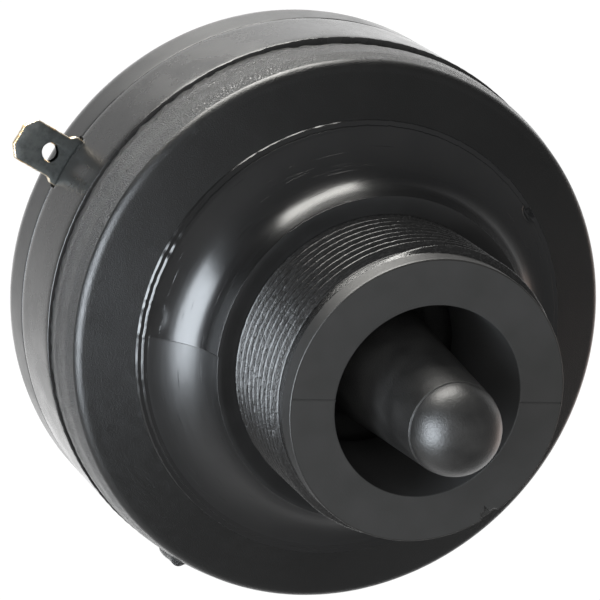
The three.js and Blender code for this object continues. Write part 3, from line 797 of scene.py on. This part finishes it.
def front_housing():
    marks = [(SPLIT_LINE, 0.9, 0.1), (SPLIT_LINE + 180, 0.9, 0.1), (GATE, 4.5, 0.3), (200.5, 5, 0.5), (PIT, 3, 0.3)]
    angles = columns(420, (RIB_TURN, 3.0, 0.15), *marks)

    def shape(r, z, a, run):
        def on(*runs):
            return np.isin(run, runs)[:, None]

        outside = on(SIDE_RUN)
        degrees = np.degrees(a) % 360
        r = with_ribs(r, z, a, "front", RIB_FRONT_Y, outside)
        flange = on(SIDE_RUN, CORNER_RUN, FRONT_RUN)
        r = r - np.where(flange, OFFSET * np.sin(a) * smoothstep((r - 27) / 5), 0)
        # The ragged moulded edge of the skirt, lower and wider where the glue joint closes.
        skirt = (z < SKIRT_Z + 0.3) & (r > 33.0) & outside
        r = r + np.where(skirt, 0.05 * ripple(a, 11, 30, 160, 0.3), 0)
        z = z - np.where(skirt, 0.06 * np.clip(ripple(a, 12, 12, 120, 0.4) - 0.4, 0, 2), 0)
        shut = window(a, *SHUT)
        z = z - np.where(skirt, CLOSING * shut, 0)
        r = r + np.where(outside & (r > 33.0), 0.24 * shut * smoothstep((21.5 - z) / 2.0), 0)
        # The seam's two small steps, ragged, leaning at the left, and worn away in places.
        seam_rows = on(SEAM_RUN)
        r = r + np.where(seam_rows, 0.02 * ripple(a, 21, 40, 200, 0.2) * (z > 28.75), 0)
        lean = 0.13 * smoothstep((degrees - 158) / 16) * smoothstep((262 - degrees) / 30)
        outer = smoothstep((z - 28.69) / 0.2) * smoothstep((r - SEAM_R - 0.5) / 0.1)
        inner = smoothstep((z - SEAM_Z + 0.09) / 0.22) * smoothstep((SEAM_R + 0.3 - r) / 0.1)
        r = r - np.where(seam_rows, lean * 0.75 * (outer + inner), 0)
        worn = 0.25 + 0.75 * window(a, 95, 235, 20)
        z = z - np.where(seam_rows & (z > 28.75) & (r > SEAM_R + 0.5), 0.12 * (1 - worn), 0)
        # The two mould halves meet a hair apart, which shows at the collar's edge and as a fine ridge.
        half = np.tanh(off_by(a, SPLIT_LINE + 180) / 0.12) * window(a, SPLIT_LINE + 90, SPLIT_LINE + 270, 40)
        edge = on(COLLAR_RUN, SHOULDER_RUN) & (z > 33.0) & (r > 19)
        r = r - np.where(edge, 0.06 * half * smoothstep((z - 33) / 3), 0)
        for at in (SPLIT_LINE, SPLIT_LINE + 180):
            off = np.abs(off_by(a, at))
            z = z + np.where(on(COLLAR_RUN), 0.03 * np.clip(1 - off / 0.35, 0, 1), 0)
            r = r + np.where(on(THREAD_RUN), 0.03 * np.clip(1 - off / 0.4, 0, 1), 0)
            cut = np.clip(1 - off / (9.0 / np.maximum(r, 8)), 0, 1)
            z = z - np.where(on(FACE_RUN) & (z > MOUTH_Z - 0.05), 0.13 * cut, 0)
        # The gate's scar on the mouth's outer edge.
        off = off_by(a, GATE) + 0.8 * np.sin(a * 90)
        deep = np.clip(1 - np.abs(off) / 4.4, 0, 1) * 1.5
        inward = np.clip((r - (THREAD_ROOT_R - deep)) / 0.5, 0, 1)
        scar = on(TIP_RUN, FACE_RUN) & (z > MOUTH_Z - 0.6)
        z = z - np.where(scar, 0.5 * smoothstep(inward) * (deep > 0), 0)
        # A sunk dimple beside the seam, a small pit at the opposite side, and specks of flash on the seam.
        across = np.hypot(off_by(a, DIMPLE) / 4.2, (r - DIMPLE_R) / 0.9)
        z = z - np.where(on(COLLAR_RUN), 0.1 * smoothstep((1.2 - across) / 0.7), 0)
        pit = np.hypot(off_by(a, PIT) / 2.7, (r - SEAM_R - 0.1) / 0.55)
        z = z - np.where(on(FRONT_RUN, SEAM_RUN, COLLAR_RUN), 0.5 * smoothstep((1.3 - pit) / 0.8), 0)
        for at, lift in FLASHES:
            flash = np.hypot(off_by(a, at) / 1.1, (r - SEAM_R) / 0.22)
            z = z + np.where(on(SEAM_RUN, COLLAR_RUN), lift * smoothstep((1.2 - flash) / 0.7), 0)
        return r, z

    install(lathe("front_housing_shell", front_outline(), angles, shape), "front_housing")


# Middle ring and rear cover -------------------------------------------------------------------------------

SLOT_HALF = 3.2 + 0.3  # half the tab's shoulder, and the gap beside it
SLOT_TOP = TAB_TOP_Z + 0.3
SLOT_FOOT = TAB_LOW_Z - 0.3
CRACK = (112.0, 8.0)  # where the rear joint gapes, and over how many degrees each way


def in_slot(a, radius=BODY_R):
    """1 where the turn crosses a terminal slot, and 0 elsewhere, with steep sides."""
    half = np.degrees(np.arcsin(SLOT_HALF / radius))
    return sum(np.clip((half - np.abs(off_by(a, at))) / 0.06 + 0.5, 0, 1) for at in (0, 180))


def slot_columns():
    half = np.degrees(np.arcsin(SLOT_HALF / BODY_R))
    return [(at + side * half, 0.06, 0.03) for at in (0, 180) for side in (-1, 1)]


def middle_ring():
    outline = [
        (SHELL_R, JOINT_Z), (BODY_R, JOINT_Z, 0.14), (BODY_R, RING_TOP_Z, 0.16), (SPIGOT_R, RING_TOP_Z, 0.15),
        (SPIGOT_R, SPIGOT_TOP_Z, 0.3), (SPIGOT_INNER_R, SPIGOT_TOP_Z, 0.3), (SPIGOT_INNER_R, 14.2, 0.5),
        (SHELL_R, 12.2, 0.3),
    ]
    ring = rounded(outline, closed=True)
    angles = columns(360, *slot_columns(), (250, 14, 0.4), (120, 20, 0.5))

    def shape(r, z, a, run):
        cut = in_slot(a)
        low = z < SLOT_TOP + 1.5
        raised = SLOT_TOP + (z - JOINT_Z) * (1.5 / (SLOT_TOP + 1.5 - JOINT_Z))
        z = np.where(low, z + (raised - z) * cut, z)
        rim = (z > RING_TOP_Z - 0.3) & (z < RING_TOP_Z + 0.05) & (r > 33.5)
        ragged = np.clip(ripple(a, 31, 25, 170, 0.3) - 0.2, 0, 2.2)
        torn = 0.25 + 0.75 * np.maximum(window(a, 225, 300), window(a, 85, 150))
        z = z + np.where(rim, 0.1 * ragged * torn, 0)
        r = r - np.where(rim, 0.03 * np.abs(ripple(a, 32, 30, 150, 0.3)), 0)
        foot = (z < JOINT_Z + 0.2) & (r > 33.8)
        gape = 0.16 * smoothstep(1.2 - np.abs(off_by(a, CRACK[0])) / CRACK[1])
        z = z + np.where(foot, gape + 0.02 * np.abs(ripple(a, 33, 20, 120, 0.3)), 0)
        return r, z

    made = lathe("middle_ring_shell", [(RING, spaced(np.concatenate([ring, ring[:1]]), 0.9)[:-1])], angles, shape)
    install(made, "middle_ring")


PIN_MARKS = [(20.5, at) for at in (30, 90, 150, 210, 270, 330)]  # ejector pins' marks on the back
PIN_R = 1.7


def rear_cover():
    back = spaced(rounded([
        (0, 0.35), (1.1, 0.35, 0.1), (1.5, 0.6, 0.1), (8.6, 0.6, 0.15), (8.9, 0.45, 0.1), (9.6, 0.45, 0.1),
        (9.9, 0.6, 0.1), (26.2, 0.6, 0.2), (26.8, 0, 0.2), (BODY_R, 0, 2.6), (BODY_R, JOINT_Z, 0.14),
        (SPIGOT_R, JOINT_Z, 0.2), (SPIGOT_R, COVER_SPIGOT_Z, 0.3), (28.6, COVER_SPIGOT_Z, 0.3), (28.6, 2.4, 1.6),
        (0, 2.4),
    ], arc=5), 0.55)
    angles = columns(360, *slot_columns(), (RIB_TURN, 3.0, 0.13))

    def shape(r, z, a, run):
        outside = (r > 33.0) & (z > 2.6)
        r = with_ribs(r, z, a, "rear", RIB_REAR_Y, outside)
        cut = in_slot(a)
        z = np.where(z > SLOT_FOOT, z + (SLOT_FOOT - z) * cut, z)
        lip = (z > JOINT_Z - 0.2) & (z < JOINT_Z + 0.05) & (r > 33.8)
        gape = 0.14 * smoothstep(1.2 - np.abs(off_by(a, CRACK[0])) / CRACK[1])
        z = z - np.where(lip, gape + 0.015 * np.abs(ripple(a, 41, 20, 120, 0.3)), 0)
        plate = (z < 0.65) & (r < 26.0)
        for pin_r, at in PIN_MARKS:
            x, y = pin_r * np.cos(np.radians(at)), pin_r * np.sin(np.radians(at))
            far = np.hypot(r * np.cos(a) - x, r * np.sin(a) - y)
            z = z + np.where(plate, 0.12 * smoothstep((PIN_R + 0.2 - far) / 0.4), 0)
        return r, z

    made = lathe("rear_cover_shell", [(COVER, back)], angles, shape, wrap=False)
    install(made, "rear_cover")


def glue_bead():
    ring = rounded([
        (31.5, RING_TOP_Z, 0.1), (33.05, RING_TOP_Z, 0.2), (33.05, SKIRT_Z, 0.2), (31.5, SKIRT_Z, 0.1)
    ], closed=True, arc=5)

    def shape(r, z, a, run):
        bulge = 0.12 * ripple(a, 51, 15, 90, 0.3) + 0.1 * ripple(a, 52, 90, 240, 0.2)
        return r + np.where(r > 32.5, np.clip(bulge, -0.35, 0.3), 0), z

    made = lathe("glue_bead_flash", [(GLUE, ring)], columns(900), shape)
    install(made, "glue_bead")


# Phase plug -----------------------------------------------------------------------------------------------

CONE_SLOPE = 8.1 / 20.4  # the cone's rise over its radius, which the plug's foot follows
PLUG_LEAN = (-0.45, -0.47)  # how far the tip stands off the axis
TIP_R = 5.33  # the plug's domed tip
TIP_Z = level("phase_plug", 1) - TIP_R
PLUG_FOOT_Z = level("phase_plug", 0)


def phase_plug():
    rim_z = 22.5 + (23.1 - 23.9) * CONE_SLOPE + 1.1
    body = spaced(rounded([
        (0, PLUG_FOOT_Z), (3.5, PLUG_FOOT_Z, 1.0), (23.1, rim_z, 0.15), (23.1, rim_z + 0.6, 0.2), (17.0, 25.7, 3.0),
        (12.5, 27.3, 3.0), (9.2, 29.6, 3.0), (7.7, 32.6, 3.0), (7.2, 36.0, 6.0), (TIP_R + 0.1, TIP_Z - 0.35),
    ], arc=5), 1.0)
    edge = rounded([
        (TIP_R + 0.1, TIP_Z - 0.35), (TIP_R + 0.1, TIP_Z - 0.06, 0.05), (TIP_R - 0.06, TIP_Z + 0.02, 0.04),
        (TIP_R - 0.04, TIP_Z + 0.3),
    ])
    up = np.linspace(0.06, np.pi / 2, 26)
    dome = np.stack([TIP_R * np.cos(up), TIP_Z + TIP_R * np.sin(up)], 1)
    dome[-1, 0] = 0

    def shape(r, z, a, run):
        return r * (1 + 0.0012 * ripple(a, 61, 2, 6) * (z > 40)), z

    core = lathe("plug_core", [(PLUG, body), (PLUG, edge), (PLUG, dome)], columns(160), shape, wrap=False)
    co = np.array([v.co for v in core.data.vertices])
    lean = np.clip((co[:, 2] / MM - 30.0) / (TIP_Z - 30.0), 0, None)
    co[:, 0] += PLUG_LEAN[0] * MM * lean
    co[:, 1] += PLUG_LEAN[1] * MM * lean
    core.data.vertices.foreach_set("co", co.astype(np.float32).ravel())
    clamp = rounded([
        (24.7, 24.2, 0.15), (30.9, 24.2, 0.15), (30.9, 25.3, 0.15), (24.7, 25.3, 0.15)
    ], closed=True, arc=3)
    ring = lathe("plug_ring", [(PLUG, spaced(clamp, 1.5))], columns(240))
    legs = [
        bevelled_bar(f"plug_leg_{k}", (19.5, -1.3, 24.2), (26.0, 1.3, 25.25), 0.2, PLUG, 90 + 120 * k)
        for k in range(3)
    ]
    made = join("phase_plug_bullet", [core, ring, *legs])
    install(made, "phase_plug")


# Terminals and leads --------------------------------------------------------------------------------------

HOLE_R, HOLE_W, HOLE_L = 36.7, 2.1, 3.4  # the wire hole's place, width and length
TAB_POINTS = 300  # points round the tab and round its hole


def around(loop, count, centre):
    """Points of a closed loop where rays from a centre meet it, at even angles."""
    loop = np.concatenate([loop, loop[:1]])
    fine = spaced(loop, 0.02)
    off = fine - centre
    angle = np.unwrap(np.arctan2(off[:, 1], off[:, 0]))
    order = np.argsort(angle)
    wanted = np.linspace(angle.min(), angle.min() + TURN, count + 1)
    return np.stack([np.interp(wanted, angle[order], fine[order, k]) for k in range(2)], 1)


def inset(loop, distance):
    """A closed loop of points, whose last repeats its first, moved inwards."""
    core = loop[:-1]
    tangent = np.roll(core, -1, 0) - np.roll(core, 1, 0)
    tangent /= np.linalg.norm(tangent, axis=1)[:, None]
    moved = core + distance * np.stack([-tangent[:, 1], tangent[:, 0]], 1)
    return np.concatenate([moved, moved[:1]])


def terminal_tab(pole, azimuth, seed):
    """A punched sheet tab with a wire hole, a rolled upper edge and a burr round its lower edge."""
    half = [(TAB_INNER_R, 2.7, 0.4), (27.6, 2.7, 0.3), (28.4, 3.2, 0.3), (34.75, 3.2, 0.35), (35.35, 2.7, 0.25),
            (TAB_TIP_R - 1.1, 2.7, 0.25), (TAB_TIP_R, 1.3, 0.25)]
    lower = [(x, -y, f) for x, y, f in half]
    outer = rounded([*lower, *half[::-1]], closed=True, arc=5)
    straight = (HOLE_L - HOLE_W) / 2
    arc = np.linspace(-np.pi / 2, np.pi / 2, 30)
    right = np.stack([HOLE_R + straight + HOLE_W / 2 * np.cos(arc), HOLE_W / 2 * np.sin(arc)], 1)
    hole = np.concatenate([right, np.stack([2 * HOLE_R - right[:, 0], -right[:, 1]], 1)])
    centre = np.array([HOLE_R, 0.0])
    outer, hole = around(outer, TAB_POINTS, centre), around(hole, TAB_POINTS, centre)
    top, low = TAB_TOP_Z, TAB_LOW_Z
    wobble = ripple(np.linspace(0, TURN, TAB_POINTS, endpoint=False), seed, 12, 60, 0.3)[:, None]
    shear = 0.012 * wobble

    def ring(loop, distance, z):
        flat = inset(loop, distance + shear)
        return np.concatenate([flat, np.full((len(flat), 1), z)], 1)

    outside = [(0.1, low), (0.02, low + 0.08), (0.0, low + 0.3), (0.01, top - 0.22), (0.06, top - 0.07), (0.16, top)]
    inside = [(-0.14, top), (-0.05, top - 0.05), (0.0, top - 0.2), (0.0, low + 0.2), (-0.03, low + 0.04), (-0.07, low)]
    rows = [ring(outer, distance, z) for distance, z in outside]
    for share in (0.25, 0.5, 0.75):
        mixed = ring(outer, 0.16, top) * (1 - share) + ring(hole, -0.14, top) * share
        mixed[:, 2] = top - 0.012 * np.abs(np.sin(np.pi * share))
        rows.append(mixed)
    rows += [ring(hole, distance, z) for distance, z in inside]
    rows.append(ring(outer, 0.1, low) * 0.5 + ring(hole, -0.07, low) * 0.5)
    kinds = [1] * 5 + [0] * 4 + [1] * 5 + [0] * 2  # 1 where the sheet is punched through
    points = np.array(rows)
    c, s = np.cos(azimuth), np.sin(azimuth)
    x, y = points[..., 0].copy(), points[..., 1].copy()
    points[..., 0], points[..., 1] = c * x - s * y, s * x + c * y
    made = lattice(f"tab_{pole}_sheet", points, [TINNED, PUNCHED], kinds, wrap=True, sharp=50)
    install(made, f"terminal_tab_{pole}")


def solder_blob(name, radius, height, base, at, seed, down=False):
    """A frozen solder dome with a concave skirt where it wets the metal."""
    t = np.linspace(0, 1, 12)
    profile = np.stack([radius * (1 - t) ** 0.6, height * np.sin(t * np.pi / 2) ** 1.25], 1)
    profile[0] = (radius, 0)
    profile[-1, 0] = 0
    outline = np.concatenate([[(0, 0)], profile])

    def shape(r, z, a, run):
        return r * (1 + 0.06 * ripple(a, seed, 2, 7)), z * (1 + 0.04 * ripple(a, seed + 1, 1, 4) * (r > 0))

    made = lathe(name, [(SOLDER, outline)], columns(36), shape, wrap=False, sharp=60)
    move = Matrix.Translation(Vector((at[0], at[1], base)) * MM)
    if down:
        move = move @ Matrix.Rotation(np.pi, 4, "X")
    made.data.transform(move)
    return made


def terminals():
    for pole, azimuth, seed in (("positive", np.pi, 71), ("negative", 0.0, 75)):
        terminal_tab(pole, azimuth, seed)
        low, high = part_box(f"solder_joint_{pole}")
        middle = (low + high) / 2 / MM
        radius = (high[1] - low[1]) / 2 / MM
        joint = solder_blob(
            f"joint_{pole}_solder", radius * 0.92, (high[2] - low[2]) / MM, TAB_TOP_Z, middle[:2], seed + 2
        )
        install(joint, f"solder_joint_{pole}")
    routes = {
        "positive": (
            RED_PVC, "wire_red", (-25.9, 0, 8.45), (-8, 0, 11.7),
            [(-8, 0, 11.3), (-8.15, 0, 10.55), (-10, 0.8, 9.9), (-17, 1.6, 9.4), (-21, 0.8, 9.35), (-24.2, 0.1, 9.5)],
        ),
        "negative": (
            BLACK_PVC, "wire_black", (25.9, 0, 8.45), (11.75, 0, 12.05),
            [(11.75, 0, 11.5), (12, -0.1, 10.6), (13.4, -0.8, 10), (17, -1.6, 9.4), (21, -0.8, 9.35),
             (24.2, -0.1, 9.5)],
        ),
    }
    for pole, (material, slot, tab_end, dot_end, route) in routes.items():
        line = spline(route, 70)
        skin = tube(f"lead_{pole}_skin", line, 0.36, material)
        near_dot = spline([line[4], line[1], dot_end], 14)
        near_tab = spline([line[-6], line[-1], (line[-1] + np.array(tab_end)) / 2 + (0, 0, 0.15), tab_end], 20)
        strands = [
            tube(f"strand_{k}", end + np.array([0, 0.09 * (k - 1), 0.05 * (k % 2)]), 0.1, SOLDER, 8)
            for end in (near_dot, near_tab)
            for k in range(3)
        ]
        made = join(f"lead_{pole}_insulated", [skin, *strands])
        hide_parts(f"lead_wire_{pole}")
        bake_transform(made)


# Diaphragm and clamped stack ------------------------------------------------------------------------------


def round_piece(name, node, material, body, outline, count, shape=None, wrap=True):
    return install(lathe(name, [(material, outline)], columns(count), shape, wrap), node, body)


def gasket(name, node, inner, outer, seed):
    low, high = level(node, 0), level(node, 1)
    ring = spaced(rounded([(inner, low, 0.12), (outer, low, 0.12), (outer, high, 0.12), (inner, high, 0.12)],
                          closed=True, arc=3), 0.8)

    def shape(r, z, a, run):
        return r + 0.05 * ripple(a, seed, 8, 60, 0.4), z

    round_piece(name, node, FOAM, "housing", ring, 240, shape)


def surround():
    over = np.concatenate([
        [(30.9, 23.4), (27.2, 23.4)], bowed((26.9, 23.4), (24.35, 22.75), 0.62, 14), [(24.1, 22.62), (23.2, 22.62)]
    ])
    away = np.gradient(over, axis=0)
    normal = np.stack([-away[:, 1], away[:, 0]], 1) / np.linalg.norm(away, axis=1)[:, None]
    upper = over - normal * 0.28
    line = np.concatenate([over[::-1], upper])
    made = lathe("surround_roll", [(CLOTH, spaced(line, 0.6))], columns(300))
    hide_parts("surround")
    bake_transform(made)


def cone():
    r = np.linspace(3.5, 23.9, 90)
    rib = 0.07 * np.clip(np.sin((r - 6) / 1.7 * TURN), 0, None) * (r > 6.5) * (r < 21.5)
    top = 14.5 + CONE_SLOPE * (r - 3.5) + rib - 0.07
    line = np.concatenate([
        np.stack([r, top - 0.4], 1), np.stack([r, top], 1)[::-1]
    ])

    def shape(radii, z, a, run):
        return radii, z + 0.015 * ripple(a, 81, 3, 30, 0.6) * (radii > 5)

    round_piece("cone_felted", "cone_diaphragm", PAPER, "diaphragm", line, 240, shape)


def small_parts():
    up = np.linspace(0, np.pi / 2, 10)
    cap = np.concatenate([
        [(0, 14.05), (2.6, 14.05), (3.15, 14.08), (3.2, 14.2)],
        np.stack([3.05 * np.cos(up), 14.35 + 0.65 * np.sin(up)], 1)[:-1],
        [(0, 15.0)],
    ])
    round_piece("apex_cap_pressed", "apex_cap", PAPER, "diaphragm", cap, 72, wrap=False)

    low, high = level("coupling_ring", 0), level("coupling_ring", 1)
    bead = rounded([(2.0, low, 0.3), (4.4, low, 0.1), (4.3, high, 0.45), (2.2, high, 0.45)], closed=True, arc=5)

    def squeezed(r, z, a, run):
        return r + np.where(r > 3.2, -1, 1) * 0.07 * np.abs(ripple(a, 91, 3, 14, 0.4)), z

    round_piece("coupling_bead", "coupling_ring", SILICONE, "diaphragm", bead, 96, squeezed)

    for side in ("front", "rear"):
        node = f"piezo_wafer_{side}"
        low, high = level(node, 0), level(node, 1)
        bare = [(10.55, low), (11.0, low, 0.05), (11.0, high, 0.05), (10.55, high)]
        runs = [
            (SILVERED, spaced(np.array([(0, low + 0.01), (10.5, low + 0.01)], float), 1.5)),
            (CERAMIC, rounded(bare)),
            (SILVERED, spaced(np.array([(10.5, high - 0.01), (0, high - 0.01)], float), 1.5)),
        ]
        install(lathe(f"wafer_{side}_disc", runs, columns(160), wrap=False), node, "diaphragm")

    low, high = level("centre_shim", 0), level("centre_shim", 1)
    shim = spaced(rounded([(0, low), (12.5, low, 0.06), (12.5, high, 0.06), (0, high)]), 1.5)
    round_piece("shim_disc", "centre_shim", BRASS, "diaphragm", shim, 160, wrap=False)

    foam = spaced(rounded([(0, 2.4), (23.0, 2.4, 0.4), (22.8, 8.4, 0.7), (0, 8.4)], arc=5), 0.7)

    def spongy(r, z, a, run):
        wave = 0.1 * ripple(a, 95, 5, 60, 0.5) + 0.05 * ripple(a, 96, 60, 140, 0.2)
        sag = 0.12 * np.abs(ripple(a, 97, 2, 9)) * (z > 7.5) * np.clip(r / 8, 0, 1)
        return np.where(r > 20, np.minimum(r + wave, 23.0), r), z - sag

    disc = round_piece("absorber_pad", "absorber_disc", FOAM, "housing", foam, 300, spongy, wrap=False)


def jumper_foil():
    """A thin tinned strip bent round the shim's edge, from one wafer's outer face to the other's."""
    low, high = level("jumper_foil", 0), level("jumper_foil", 1)
    reach = level("jumper_foil", 1, 1)
    strip = rounded([
        (9.6, high), (reach, high, 0.3), (reach, low, 0.3), (9.6, low)
    ], arc=6)
    inner = rounded([
        (9.6, high - 0.12), (reach - 0.12, high - 0.12, 0.2), (reach - 0.12, low + 0.12, 0.2), (9.6, low + 0.12)
    ], arc=6)
    across = np.array([-0.7, -0.66, -0.3, 0, 0.3, 0.66, 0.7])

    def at(x, line):
        return np.concatenate([np.full((len(line), 1), x), line], 1)

    loop = np.concatenate([strip, inner[::-1], strip[:1]])
    sides = lattice("foil_sides", np.stack([at(x, loop) for x in across[::-1]]), [TINNED])
    ends = []
    for k in (0, across.size - 1):
        pair = np.stack([at(across[k], strip), at(across[k], inner)])
        ends.append(lattice(f"foil_end_{k}", pair if k else pair[::-1], [TINNED]))
    made = join("jumper_foil_strip", [sides, *ends])
    builder = bmesh.new()
    builder.from_mesh(made.data)
    bmesh.ops.remove_doubles(builder, verts=builder.verts, dist=1e-7)
    bmesh.ops.recalc_face_normals(builder, faces=builder.faces)
    builder.to_mesh(made.data)
    builder.free()
    install(made, "jumper_foil", "diaphragm")


def solder_dots():
    for node, at, radius, seed in (
        ("solder_dot_wafer", (-8.0, 0.0), 1.02, 101), ("solder_dot_shim", (11.75, 0.0), 0.56, 105)
    ):
        base, foot = level(node, 1), level(node, 0)
        made = solder_blob(f"{node}_blob", radius, base - foot, base, at, seed, down=True)
        install(made, node, "diaphragm")


front_housing()
middle_ring()
rear_cover()
glue_bead()
phase_plug()
terminals()
gasket("rear_gasket_ring", "rear_gasket", 28.35, 30.85, 111)
gasket("front_gasket_ring", "front_gasket", 27.25, 30.85, 115)
surround()
cone()
small_parts()
jumper_foil()
solder_dots()
